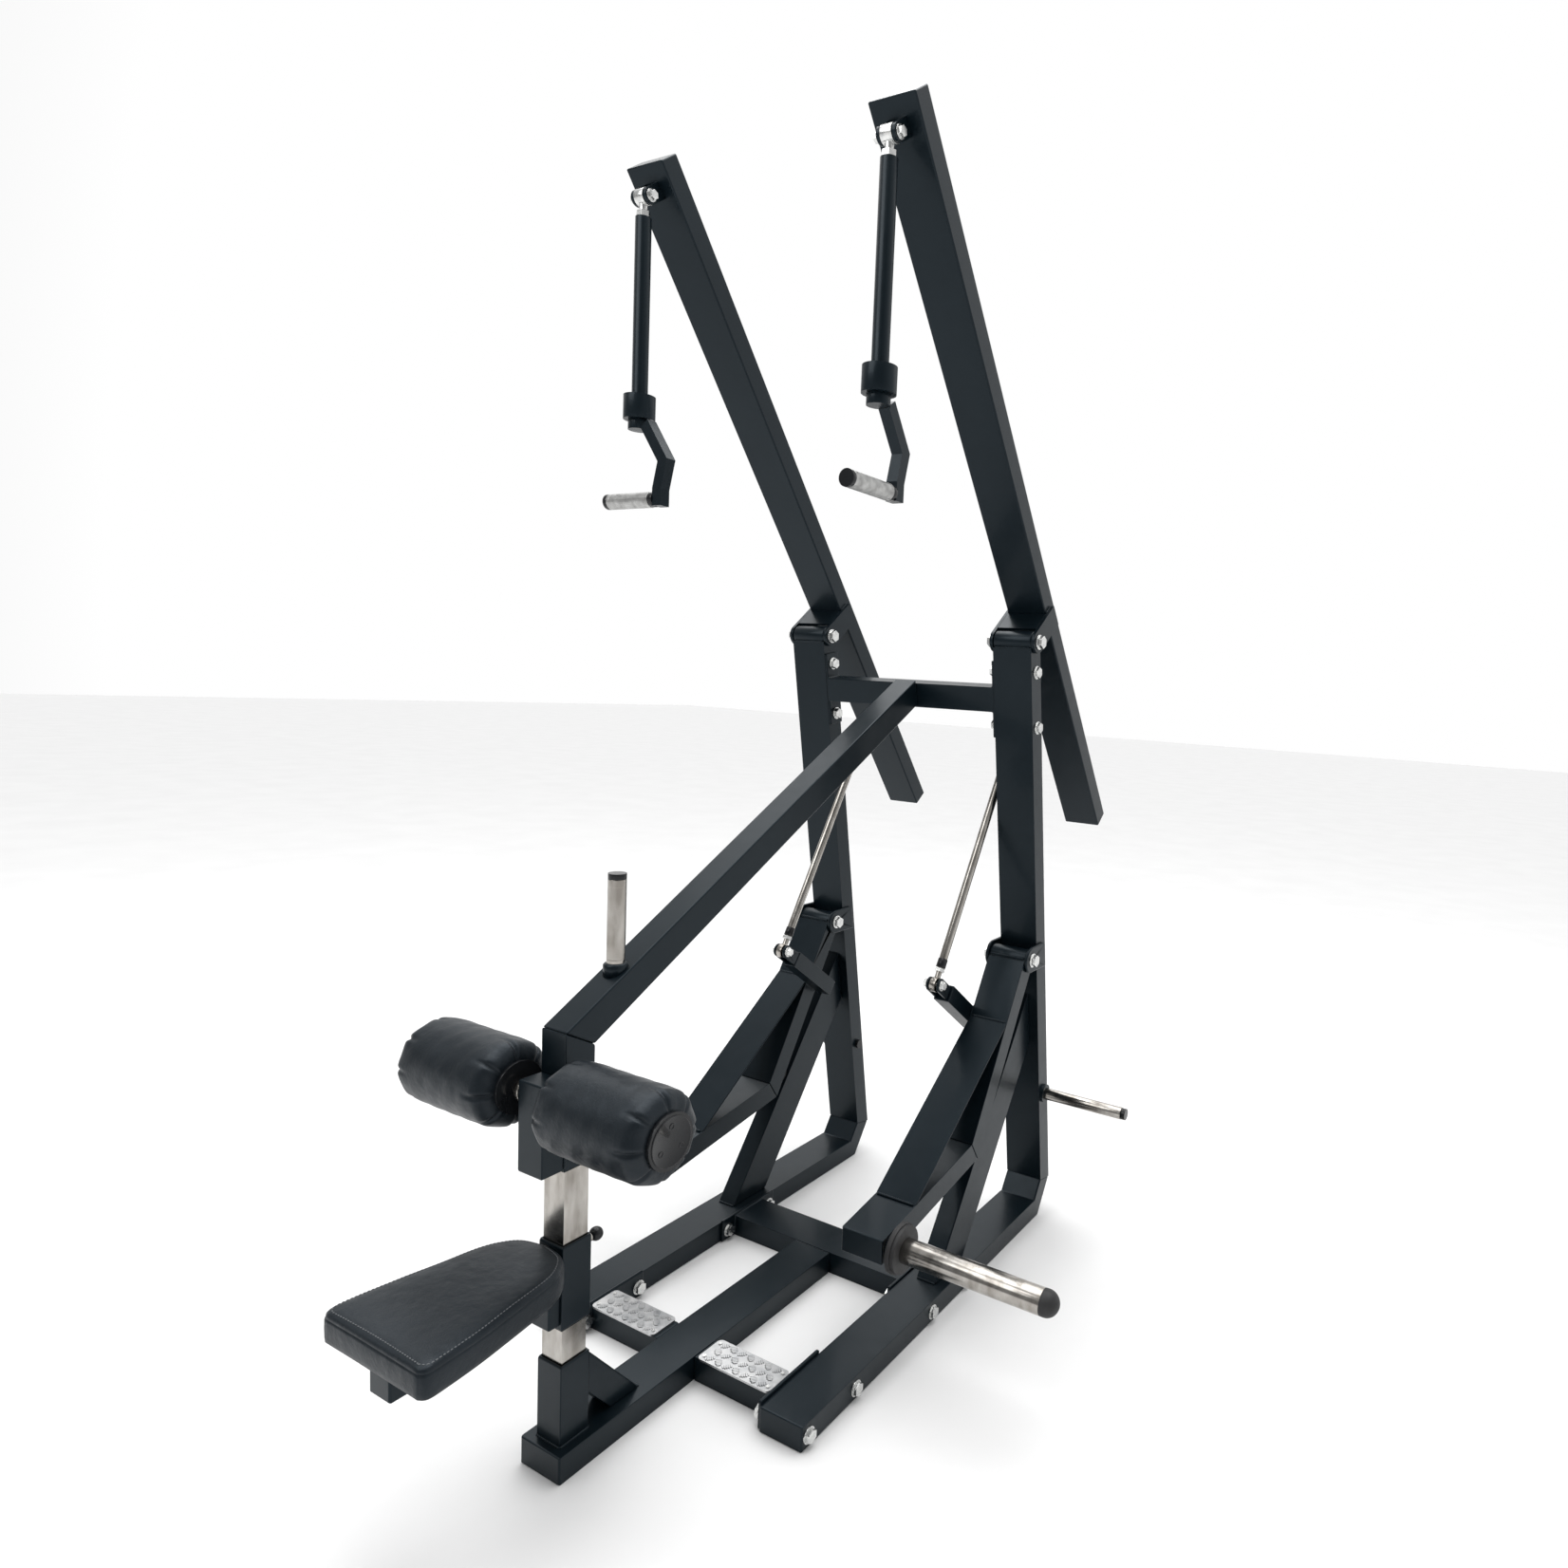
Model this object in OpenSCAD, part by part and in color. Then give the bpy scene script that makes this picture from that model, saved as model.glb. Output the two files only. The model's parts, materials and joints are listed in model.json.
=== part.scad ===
// Plate-loaded lat pulldown with two independent arms.
// Millimetres, +Z up. The origin is on the floor, at the middle of the base.
// +X is the user's right. The seat is on the -Y side and the uprights on the +Y side.

/* [Frame] */
// width of the main rectangular tube, seen from the front
tube_w = 100; // [90:1:110]
// depth of the main rectangular tube
tube_t = 50; // [46:1:54]
// distance from the middle of the machine to the middle of each side frame
arm_x = 298; // [290:1:320]
// front end of the centre beam, in front of the middle of the base
centre_front = 635; // [620:1:680]
// front end of the side beams, in front of the middle of the base
side_front = 357; // [345:1:380]
// rear end of the side beams, behind the middle of the base
side_rear = 640; // [630:1:660]
// forward lean of the uprights, in degrees
upright_lean = 10.4; // [9.5:0.1:11]
// height of the upper pivot, where the pull lever turns
upper_pivot_z = 1503; // [1490:1:1515]
// height of the lower pivot, where the weight arm turns
lower_pivot_z = 730; // [722:1:738]

/* [Levers and arms] */
// slope of the pull lever at rest, in degrees below level
lever_slope = 51.6; // [50:0.1:53]
// length of the pull lever in front of its pivot
lever_front = 1080; // [1040:1:1100]
// length of the pull lever behind its pivot
lever_rear = 670; // [640:1:690]
// exposed length of the weight horns
horn_len = 302; // [250:1:320]
// diameter of the weight horns, for plates with a 50 mm hole
horn_d = 50; // [48:0.5:50]

/* [Seat and handles] */
// distance from the middle of the base forward to the seat post
post_y = 588; // [580:1:596]
// height of the top of the seat pad, with the seat at rest
seat_top_z = 417; // [412:1:422]
// height of the axis of the knee rollers
roller_z = 683; // [680:1:688]
// diameter of the knee rollers
roller_d = 150; // [140:1:164]
// drop from a lever's front pin to the grip
grip_drop = 600; // [590:1:620]

/* [Hidden] */
$fn = 64;
fit = 0.05;          // radial clearance of a running fit
gap = 0.4;           // clearance between faces that pass each other
plate_t = 6;         // bolted end plates
ear_t = 8;           // pivot ears and clevis cheeks
box_w = 60;          // square tube of the diagonal, sleeve and socket
post_w = 50;         // square stainless post
pivot_r = 10;        // pivot bolts
pivot_tube_r = 25;   // tubes that the pivot bolts run in
pin_r = 6;           // rod end bolts
in_x = arm_x - tube_w / 2;
out_x = arm_x + tube_w / 2;

// side frame, as points [y, z] on the middle of the tube
leg_low = [side_rear - 10.4, tube_t / 2];
leg_high = [side_rear + 33.5, tube_t / 2 + 65];
function upright_y(z) = leg_high[0] - (z - leg_high[1]) * tan(upright_lean);
upper_pivot = [upright_y(upper_pivot_z), upper_pivot_z];
lower_pivot = [upright_y(lower_pivot_z) - 66, lower_pivot_z];
upright_top_z = upper_pivot_z - 12;
upright_top = [upright_y(upright_top_z), upright_top_z];

// brace, from the side beam up to the upright
brace_angle = 55.1;
brace_depth = 98;
brace_w = 50;
brace_foot = [148, tube_t];

// upper cross beam and the diagonal that carries the knee rollers
cross_z = 1368;
cross_h = 60;
cross_bolt = 66;
diagonal_slope = 31;
elbow_bottom_z = 545;
lap = 55;            // how far the post reaches into the elbow
elbow = [-post_y, 768];
peg_y = -491;
peg_r = 16;

// base members
foot_y = -290;
foot_d = 60;
foot_plate_y = -265;
foot_bolt = 73;
rear_y = 170;
rear_plate_len = 190;
rear_bolt = 75;
storage_z = 343;
storage_r = 15;
storage_len = 210;
flange_t = 8;
tread_in = 60;
tread_out = 240;
tread_d = 68;
tread_t = 4;
socket_top_z = 197;

// knee rollers
axle_y = -643;
axle_r = 12.5;
roller_in = 56;
roller_out = 290;
disc_r = 45;
disc_t = 6;
block_top_z = 708;
block_low_z = 549;
block_d = 44;

// seat
sleeve_z = 262;
sleeve_h = 150;
pad_t = 52;
pad_front = -925;
pin_z = 385;
hole_pitch = 30;

// pull lever, in its own frame: y runs down the lever, z away from its pivot
lever_off = 103.7;
handle_pin = [-lever_front + 50, lever_off - tube_t / 2 - 35];
pin_ear_out = 20;    // outer faces of the ears beside the handle pin
pin_ear_t = 7;
rod_top = [230.6, 92.8];

// weight arm, as points [y, z]
arm_drop = 465.5;
arm_bend = lower_pivot + arm_drop * [cos(240), sin(240)];
stop_at = 420;       // from the lower pivot down to the rubber stop
arm_end = arm_bend + [-377, -63];
plate_up = 132;
plate_out = 119;
horn_at = arm_end + [30, 5];
disc_x = out_x + 28;
horn_start = out_x + 36;
cap_rim = 7;         // straight part of the rubber cap, before it rounds over
rod_x = in_x - 22.5;
rod_low = lower_pivot - [245, 28];
neck_len = 40;       // from a rod eye's middle to the rod
ear_in = 11;         // inner faces of the ears beside a rod end
rod_ear_t = 6;
mount_angle = 36;

// handle, in its own frame: z is height above the grip
crank_w = 24;
grip_r = 16;
collar_r = 32;
collar_h = 48;
collar_low = 162;
swivel_depth = 36;   // length of the swivel pin inside the collar
hub_r = 22;          // hub of the crank, under the collar
hub_h = 20;
grip_root = 54;      // where the grip meets the crank
grip_tip = -77;
stub_len = 12;       // black stub between the crank and the knurled grip
stub_r = 15;
crank_path = [[26, 152], [80, 76], [66, 20], [66, -14]];

black = [0.16, 0.19, 0.23];
steel = [0.78, 0.77, 0.74];
zinc = [0.82, 0.82, 0.8];
alloy = [0.9, 0.9, 0.9];
leather = [0.2, 0.21, 0.23];
plastic = [0.05, 0.05, 0.06];
rubber = [0.04, 0.04, 0.04];

// ---- geometry helpers, all in the side view [y, z] ----
function unit(v) = v / norm(v);
function left(d) = [-d[1], d[0]];
function dir(a) = [cos(a), sin(a)];
function flip(a, b) = a[0] * b[1] - a[1] * b[0];
// where the line through p along d meets the line through q along e
function meet(p, d, q, e) = p + d * flip(q - p, e) / flip(d, e);
// a corner of a bent tube, off to one side of the bend at p
function mitre(p, d, e, off) = p + off * (left(d) + left(e)) / (1 + left(d) * left(e));

// the two sides of a bent bar of even thickness along a run of points
function edge(p, n, off) =
    n == 0 ? p[0] + off * left(unit(p[1] - p[0])) :
    n == len(p) - 1 ? p[n] + off * left(unit(p[n] - p[n - 1])) :
    mitre(p[n], unit(p[n] - p[n - 1]), unit(p[n + 1] - p[n]), off);
function band(p, t) = concat(
    [for (n = [0 : len(p) - 1]) edge(p, n, t / 2)],
    [for (n = [len(p) - 1 : -1 : 0]) edge(p, n, -t / 2)]);

// a side view outline [y, z] becomes a solid between two x values
module side_prism(x0, x1, outline) {
    translate([x0, 0, 0])
        rotate([90, 0, 90])
            linear_extrude(x1 - x0)
                polygon(outline);
}

module box(lo, hi) {
    translate(lo)
        cube(hi - lo);
}

// a cylinder along x
module rod_along_x(x0, x1, at, r) {
    translate([x0, at[0], at[1]])
        rotate([0, 90, 0])
            cylinder(h = x1 - x0, r = r);
}

// a hexagon along x
module hex_along_x(x0, x1, at, r) {
    translate([x0, at[0], at[1]])
        rotate([0, 90, 0])
            cylinder(h = x1 - x0, r = r, $fn = 6);
}

// right-hand parts are drawn once, and mirrored for the left
module on_side(s) {
    mirror([s < 0 ? 1 : 0, 0, 0])
        children();
}

module both_sides() {
    on_side(1) children();
    on_side(-1) children();
}

module lever_frame() {
    translate([0, upper_pivot[0], upper_pivot[1]])
        rotate([-lever_slope, 0, 0])
            children();
}

module cross_frame() {
    translate([0, upright_y(cross_z), cross_z])
        rotate([upright_lean, 0, 0])
            children();
}

// washer and hexagon head outside a face at x, and the same for a nut on an inner face
module bolt_head(x, at, r = 13, h = 10) {
    rod_along_x(x, x + 2.5, at, r + 2.5);
    hex_along_x(x + 2.5, x + h, at, r);
}

module bolt_nut(x, at, r = 13, h = 12) {
    rod_along_x(x - 2.5, x, at, r + 2.5);
    hex_along_x(x - h, x - 2.5, at, r);
}

// ---- base ----
module centre_beam() {
    color(black)
        box([-tube_w / 2, -centre_front, 0], [tube_w / 2, rear_y - tube_w / 2, tube_t]);
}

module rear_cross_member() {
    color(black) {
        box([-in_x + plate_t, rear_y - tube_w / 2, 0], [in_x - plate_t, rear_y + tube_w / 2, tube_t]);
        both_sides()
            box([in_x - plate_t, rear_y - rear_plate_len / 2, 0], [in_x, rear_y + rear_plate_len / 2, tube_t + 5]);
    }
}

module foot_bar() {
    color(black)
        both_sides() {
            box([tube_w / 2, foot_y - foot_d / 2, 0], [in_x - plate_t, foot_y + foot_d / 2, tube_t]);
            box([in_x - plate_t, foot_plate_y - 88, 0], [in_x, foot_plate_y + 88, tube_t + 7]);
        }
}

module rounded_sheet(lo, hi, r) {
    translate([0, 0, lo[2]])
        linear_extrude(hi[2] - lo[2])
            union() {
                translate([lo[0] + r, lo[1]]) square([hi[0] - lo[0] - 2 * r, hi[1] - lo[1]]);
                translate([lo[0], lo[1] + r]) square([hi[0] - lo[0], hi[1] - lo[1] - 2 * r]);
                for (x = [lo[0] + r, hi[0] - r], y = [lo[1] + r, hi[1] - r])
                    translate([x, y]) circle(r);
            }
}

module foot_treads() {
    lo = [tread_in, foot_y - tread_d / 2, tube_t];
    hi = [tread_out, foot_y + tread_d / 2, tube_t + tread_t];
    color(alloy)
        both_sides()
            rounded_sheet(lo, hi, 10);
}

// the side beam ends in a short raked leg under the upright
module side_beams() {
    u = dir(90 + upright_lean);
    d = unit(leg_high - leg_low);
    r = tube_t / 2;
    color(black)
        both_sides()
            side_prism(in_x, out_x, [
                [-side_front, 0], mitre(leg_low, [1, 0], d, -r), mitre(leg_high, d, u, -r),
                mitre(leg_high, d, u, r), mitre(leg_low, [1, 0], d, r), [-side_front, tube_t]]);
}

module uprights() {
    d = unit(leg_high - leg_low);
    u = dir(90 + upright_lean);
    r = tube_t / 2;
    color(black)
        both_sides()
            difference() {
                union() {
                    side_prism(in_x, out_x, [
                        mitre(leg_high, d, u, -r), upright_top - r * left(u),
                        upright_top + r * left(u), mitre(leg_high, d, u, r)]);
                    rod_along_x(out_x, out_x + flange_t, [upright_y(storage_z), storage_z], 23);
                }
                rod_along_x(in_x - 1, out_x + 1, upper_pivot, pivot_tube_r);
            }
}

module braces() {
    d = dir(brace_angle);
    u = dir(90 + upright_lean);
    face = upright_top + tube_t / 2 * left(u);
    heel = brace_foot + [brace_depth / sin(brace_angle), 0];
    color(black)
        both_sides()
            side_prism(arm_x - brace_w / 2, arm_x + brace_w / 2,
                [brace_foot, heel, meet(heel, d, face, u), meet(brace_foot, d, face, u)]);
}

module front_socket() {
    half = box_w / 2;
    back = -post_y + half;
    s = dir(-50);
    top = [back, socket_top_z - 4];
    under = top - [0, post_w / cos(50)];
    color(black) {
        difference() {
            box([-half, -post_y - half, tube_t], [half, back, socket_top_z]);
            box([-post_w / 2, -post_y - post_w / 2, tube_t], [post_w / 2, -post_y + post_w / 2, socket_top_z + 1]);
        }
        side_prism(-post_w / 2, post_w / 2,
            [top, under, meet(under, s, [0, tube_t], [1, 0]), meet(top, s, [0, tube_t], [1, 0])]);
    }
}

module seat_post() {
    half = post_w / 2;
    color(steel)
        difference() {
            box([-half, -post_y - half, tube_t], [half, -post_y + half, elbow_bottom_z + lap]);
            for (n = [-2 : 4])
                translate([0, -post_y + half - 12, pin_z + n * hole_pitch])
                    rotate([-90, 0, 0])
                        cylinder(h = 13, r = 5.5);
        }
}

// ---- upper frame ----
module pivot_mounts() {
    u = dir(90 + upright_lean);
    back = upright_y(lower_pivot_z) + 10;
    color(black)
        both_sides() {
            difference() {
                rod_along_x(in_x + gap, out_x - gap, upper_pivot, pivot_tube_r);
                rod_along_x(in_x, out_x, upper_pivot, pivot_r);
            }
            for (x = [in_x - ear_t, out_x])
                difference() {
                    union() {
                        rod_along_x(x, x + ear_t, lower_pivot, 32);
                        side_prism(x, x + ear_t, [
                            lower_pivot + [0, -32], [back + 6, lower_pivot_z - 32],
                            [back - 6, lower_pivot_z + 32], lower_pivot + [0, 32]]);
                    }
                    rod_along_x(x - 1, x + ear_t + 1, lower_pivot, pivot_r);
                }
        }
}

module upper_cross_beam() {
    half = plate_t / 2;
    color(black)
        cross_frame() {
            cube([2 * (in_x - plate_t), tube_t, cross_h], center = true);
            both_sides()
                translate([in_x - half, 0, 0])
                    cube([plate_t, tube_t, 186], center = true);
        }
}

module diagonal_beam() {
    d = dir(diagonal_slope);
    u = dir(90 + upright_lean);
    r = box_w / 2;
    face = [upright_y(cross_z), cross_z] + tube_t / 2 * left(u);
    low = mitre(elbow, [0, 1], d, -r);
    high = mitre(elbow, [0, 1], d, r);
    color(black)
        side_prism(-r, r, [low, meet(low, d, face, u), meet(high, d, face, u), high]);
}

module elbow_post() {
    d = dir(diagonal_slope);
    r = box_w / 2;
    half = post_w / 2;
    color(black)
        difference() {
            side_prism(-r, r, [
                [elbow[0] + r, elbow_bottom_z], mitre(elbow, [0, 1], d, -r),
                mitre(elbow, [0, 1], d, r), [elbow[0] - r, elbow_bottom_z]]);
            box([-half, -post_y - half, elbow_bottom_z - 1], [half, -post_y + half, elbow_bottom_z + lap]);
        }
}

// height of the diagonal's top face above the floor
function diagonal_top(y) = elbow[1] + (y - elbow[0]) * tan(diagonal_slope) + box_w / 2 / cos(diagonal_slope);

module hand_peg() {
    foot = diagonal_top(peg_y);
    color(steel)
        difference() {
            translate([0, peg_y, foot - 14])
                union() {
                    cylinder(h = 176, r = peg_r);
                    cylinder(h = 30, r = peg_r + 6);
                }
            d = dir(diagonal_slope);
            side_prism(-40, 40, [
                [peg_y, foot] - 80 * d, [peg_y, foot] - 80 * d + [0, -60],
                [peg_y, foot] + 80 * d + [0, -60], [peg_y, foot] + 80 * d]);
        }
}

module knee_block() {
    half = box_w / 2;
    front = -post_y - half - block_d;
    color(black)
        difference() {
            box([-half, front, block_low_z], [half, front + block_d, block_top_z]);
            rod_along_x(-half - 1, half + 1, [axle_y, roller_z], axle_r);
        }
}

module knee_axle() {
    color(steel) {
        rod_along_x(-roller_out + 1, roller_out - 1, [axle_y, roller_z], axle_r);
        both_sides()
            rod_along_x(box_w / 2, box_w / 2 + 10, [axle_y, roller_z], axle_r + 8);
    }
}

module storage_horns() {
    at = [upright_y(storage_z), storage_z];
    color(steel)
        both_sides()
            rod_along_x(out_x + flange_t, out_x + flange_t + storage_len, at, storage_r);
}

module black_plugs() {
    at = [upright_y(storage_z), storage_z];
    peg_top = diagonal_top(peg_y) + 162;
    color(plastic) {
        both_sides() {
            rod_along_x(out_x + flange_t + storage_len, out_x + flange_t + storage_len + 12,
                        at, storage_r - 1);
            rod_along_x(in_x - 9, in_x, at, 12);
        }
        translate([0, peg_y, peg_top])
            cylinder(h = 10, r = peg_r);
    }
}

module frame_bolts() {
    foot = [foot_plate_y - foot_bolt, foot_plate_y + foot_bolt];
    rear = [rear_y - rear_bolt, rear_y + rear_bolt];
    color(zinc)
        both_sides() {
            for (y = concat(foot, rear)) {
                bolt_head(out_x, [y, tube_t / 2]);
                bolt_nut(in_x - plate_t, [y, tube_t / 2]);
            }
            for (z = [-cross_bolt, cross_bolt])
                cross_frame() {
                    bolt_head(out_x, [0, z]);
                    bolt_nut(in_x - plate_t, [0, z]);
                }
            for (x = [tread_in + 10, tread_out - 10], y = [-22, 22])
                translate([x, foot_y + y, tube_t + tread_t])
                    cylinder(h = 2, r = 4);
        }
}

// bolts that stay with the frame while the levers and arms turn on them
module pivot_bolts() {
    color(zinc)
        both_sides() {
            rod_along_x(in_x - ear_t - 2 * gap, out_x + ear_t + 2 * gap, upper_pivot, pivot_r);
            rod_along_x(in_x - ear_t, out_x + ear_t, lower_pivot, pivot_r);
            for (end = [[upper_pivot, 2 * gap], [lower_pivot, 0]]) {
                bolt_head(out_x + ear_t + end[1], end[0], 15, 13);
                bolt_nut(in_x - ear_t - end[1], end[0], 15, 13);
            }
        }
}

// rubber stops on the braces, behind the weight arms
module arm_stops() {
    d = dir(brace_angle);
    n = dir(-30);
    at = lower_pivot + stop_at * drop_dir() + (tube_t / 2 + gap) * n;
    heel = brace_foot + [brace_depth / sin(brace_angle), 0];
    color(rubber)
        both_sides()
            difference() {
                translate([arm_x, at[0], at[1]])
                    rotate([-120, 0, 0])
                        cylinder(h = 90, r = 20);
                side_prism(arm_x - 40, arm_x + 40,
                    [brace_foot, heel, heel + 600 * d, brace_foot + 600 * d]);
            }
}

// ---- seat ----
module seat_carriage() {
    half = box_w / 2;
    bore = post_w / 2 + gap;
    color(black)
        difference() {
            union() {
                box([-half, -post_y - half, sleeve_z], [half, -post_y + half, sleeve_z + sleeve_h]);
                translate([0, -post_y + half, pin_z])
                    rotate([-90, 0, 0])
                        cylinder(h = 14, r = 11);
            }
            box([-bore, -post_y - bore, sleeve_z - 1], [bore, -post_y + bore, sleeve_z + sleeve_h + 1]);
            translate([0, -post_y, pin_z])
                rotate([-90, 0, 0])
                    cylinder(h = half + 20, r = 5 + fit);
        }
}

module seat_support() {
    half = post_w / 2;
    top = seat_top_z - pad_t;
    back = -post_y - box_w / 2;
    color(black) {
        box([-half, pad_front + 15, top - post_w], [half, back, top]);
        box([-half, back - 22, sleeve_z + 10], [half, back, top - post_w]);
    }
}

// half widths of the pad along its length, from the front to the post
pad_shape = [[-925, 118], [-915, 125], [-825, 117], [-740, 99], [-680, 82], [-650, 64], [-630, 42], [-620, 28]];

module seat_pad() {
    right = [for (p = pad_shape) [p[1], p[0]]];
    left = [for (n = [len(pad_shape) - 1 : -1 : 0]) [-pad_shape[n][1], pad_shape[n][0]]];
    color(leather)
        translate([0, 0, seat_top_z - pad_t])
            linear_extrude(pad_t)
                polygon(concat(right, left));
}

module pull_pin() {
    color(steel)
        translate([0, -post_y + post_w / 2 + gap, pin_z])
            rotate([-90, 0, 0])
                union() {
                    cylinder(h = 36, r = 5);
                    translate([0, 0, 19.5])
                        cylinder(h = 6.5, r = 8);
                }
}

module pin_knob() {
    color(plastic)
        translate([0, -post_y + post_w / 2 + 40, pin_z])
            difference() {
                sphere(r = 12.5);
                rotate([90, 0, 0])
                    cylinder(h = 20, r = 5);
            }
}

// ---- knee rollers ----
module knee_roller(s) {
    color(leather)
        on_side(s)
            difference() {
                rod_along_x(roller_in, roller_out, [axle_y, roller_z], roller_d / 2);
                rod_along_x(roller_in - 1, roller_out + 1, [axle_y, roller_z], axle_r + fit);
            }
}

module roller_discs(s) {
    color(plastic)
        on_side(s) {
            difference() {
                rod_along_x(roller_in - disc_t, roller_in, [axle_y, roller_z], disc_r);
                rod_along_x(roller_in - 10, roller_in + 1, [axle_y, roller_z], axle_r + fit);
            }
            rod_along_x(roller_out, roller_out + disc_t, [axle_y, roller_z], disc_r);
        }
}

// ---- pull levers ----
module lever(s) {
    color(black)
        on_side(s)
            lever_frame()
                box([in_x, -lever_front, lever_off - tube_t / 2], [out_x, lever_rear, lever_off + tube_t / 2]);
}

// clevis cheeks about the pivot, ears for the handle's pin, and the lug beside the rod's top eye
module lever_brackets(s) {
    top = lever_off + 9;
    face = lever_off - tube_t / 2;
    half = 26;
    color(black)
        on_side(s)
            lever_frame() {
                for (x = [in_x - ear_t - gap, out_x + gap])
                    difference() {
                        union() {
                            rod_along_x(x, x + ear_t, [0, 0], half);
                            box([x, -half, 0], [x + ear_t, half, top]);
                        }
                        rod_along_x(x - 1, x + ear_t + 1, [0, 0], pivot_r + fit);
                    }
                for (x = [in_x - gap, out_x])
                    box([x, -half, face + 2], [x + gap, half, top]);
                box([in_x, -half, 18], [out_x, -half + plate_t, face]);
                for (x = [arm_x - pin_ear_out, arm_x + pin_ear_out - pin_ear_t])
                    difference() {
                        union() {
                            rod_along_x(x, x + pin_ear_t, handle_pin, 16);
                            box([x, handle_pin[0] - 16, handle_pin[1]],
                                [x + pin_ear_t, handle_pin[0] + 16, face]);
                        }
                        rod_along_x(x - 1, x + pin_ear_t + 1, handle_pin, pin_r);
                    }
                rod_along_x(rod_x + ear_in + gap, in_x, rod_top, 17);
            }
}

module lever_bolts(s) {
    color(zinc)
        on_side(s)
            lever_frame() {
                rod_along_x(arm_x - pin_ear_out, arm_x + pin_ear_out, handle_pin, pin_r);
                bolt_head(arm_x + pin_ear_out, handle_pin, 10, 9);
                bolt_nut(arm_x - pin_ear_out, handle_pin, 10, 11);
            }
}

// ---- weight arms ----
function drop_dir() = dir(240);
function low_dir() = unit(arm_end - arm_bend);

module arm_drop_tube(s) {
    r = tube_t / 2;
    start = lower_pivot + 12 * drop_dir();
    m = dir(180 - mount_angle);
    back = rod_low - 240 * m;
    front = rod_low - 46 * m;
    color(black)
        on_side(s)
            difference() {
                union() {
                    side_prism(in_x + gap, out_x - gap, [
                        start - r * left(drop_dir()), mitre(arm_bend, drop_dir(), low_dir(), -r),
                        mitre(arm_bend, drop_dir(), low_dir(), r), start + r * left(drop_dir())]);
                    rod_along_x(in_x + gap, out_x - gap, lower_pivot, pivot_tube_r);
                    side_prism(in_x - 41, in_x + gap, [
                        back - 20 * left(m), front - 20 * left(m), front + 20 * left(m), back + 20 * left(m)]);
                    for (x = [rod_x - ear_in - rod_ear_t, rod_x + ear_in]) {
                        rod_along_x(x, x + rod_ear_t, rod_low, 16);
                        side_prism(x, x + rod_ear_t, [
                            rod_low - 16 * left(m), front - 16 * left(m),
                            front + 16 * left(m), rod_low + 16 * left(m)]);
                    }
                }
                rod_along_x(in_x, out_x, lower_pivot, pivot_r + fit);
                rod_along_x(rod_x - 20, rod_x + 20, rod_low, pin_r);
            }
}

module arm_lower_tube(s) {
    r = tube_t / 2;
    color(black)
        on_side(s)
            side_prism(in_x + gap, out_x - gap, [
                mitre(arm_bend, drop_dir(), low_dir(), -r), [arm_end[0], arm_end[1] + r * 1.014],
                [arm_end[0], arm_end[1] - r * 1.014], mitre(arm_bend, drop_dir(), low_dir(), r)]);
}

module arm_face_plate(s) {
    r = tube_t / 2;
    front = lower_pivot - r * left(drop_dir());
    roof = arm_end - r * left(low_dir());
    up = meet(front, drop_dir(), [0, lower_pivot_z - plate_up], [1, 0]);
    out = meet(roof, low_dir(), arm_end + [plate_out, 0], [0, 1]);
    d = unit(out - up);
    inner = up + plate_t * left(d);
    color(black)
        on_side(s)
            side_prism(in_x + gap, out_x - gap, [
                up, meet(inner, d, front, drop_dir()), meet(inner, d, roof, low_dir()), out]);
}

module weight_horn(s) {
    color(steel)
        on_side(s) {
            rod_along_x(horn_start, horn_start + horn_len, horn_at, horn_d / 2);
            rod_along_x(out_x - gap, out_x + 18, horn_at, 18);
            bolt_nut(in_x + gap, horn_at, 12, 11);
        }
}

module horn_rubbers(s) {
    end = horn_start + horn_len;
    color(rubber)
        on_side(s) {
            rod_along_x(disc_x - 10, disc_x, horn_at, 50);
            rod_along_x(disc_x, horn_start, horn_at, 47);
            translate([end, horn_at[0], horn_at[1]])
                rotate([0, 90, 0])
                    rotate_extrude()
                        intersection() {
                            union() {
                                square([horn_d / 2, cap_rim]);
                                translate([0, cap_rim])
                                    circle(r = horn_d / 2);
                            }
                            square([horn_d, horn_d]);
                        }
        }
}

// ---- connecting rods ----
// a point of the lever's own frame, as [y, z] at rest
function from_lever(p) = upper_pivot + [
    p[0] * cos(lever_slope) + p[1] * sin(lever_slope),
    p[1] * cos(lever_slope) - p[0] * sin(lever_slope)];

module rod_eye(at, d) {
    rod_along_x(rod_x - 7, rod_x + 7, at, 17);
    translate([rod_x, at[0], at[1]])
        rotate([atan2(d[1], d[0]) - 90, 0, 0])
            cylinder(h = neck_len, r = 7);
}

module connecting_rod(s) {
    top = from_lever(rod_top);
    d = unit(top - rod_low);
    color(steel)
        on_side(s)
            difference() {
                union() {
                    rod_eye(rod_low, d);
                    rod_eye(top, -d);
                    translate([rod_x, rod_low[0], rod_low[1]])
                        rotate([atan2(d[1], d[0]) - 90, 0, 0])
                            translate([0, 0, neck_len])
                                cylinder(h = norm(top - rod_low) - 2 * neck_len, r = 10);
                    bolt_nut(rod_x - 7, top, 10, 12);
                }
                rod_along_x(rod_x - 12, rod_x + 12, rod_low, pin_r + fit);
            }
}

// the bolt in the arm's ears that a rod's lower end turns on
module rod_bolt(s) {
    out = ear_in + rod_ear_t;
    color(zinc)
        on_side(s) {
            rod_along_x(rod_x - out, rod_x + out, rod_low, pin_r);
            bolt_nut(rod_x - out, rod_low, 10, 11);
            bolt_head(rod_x + out, rod_low, 10, 9);
        }
}

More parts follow.
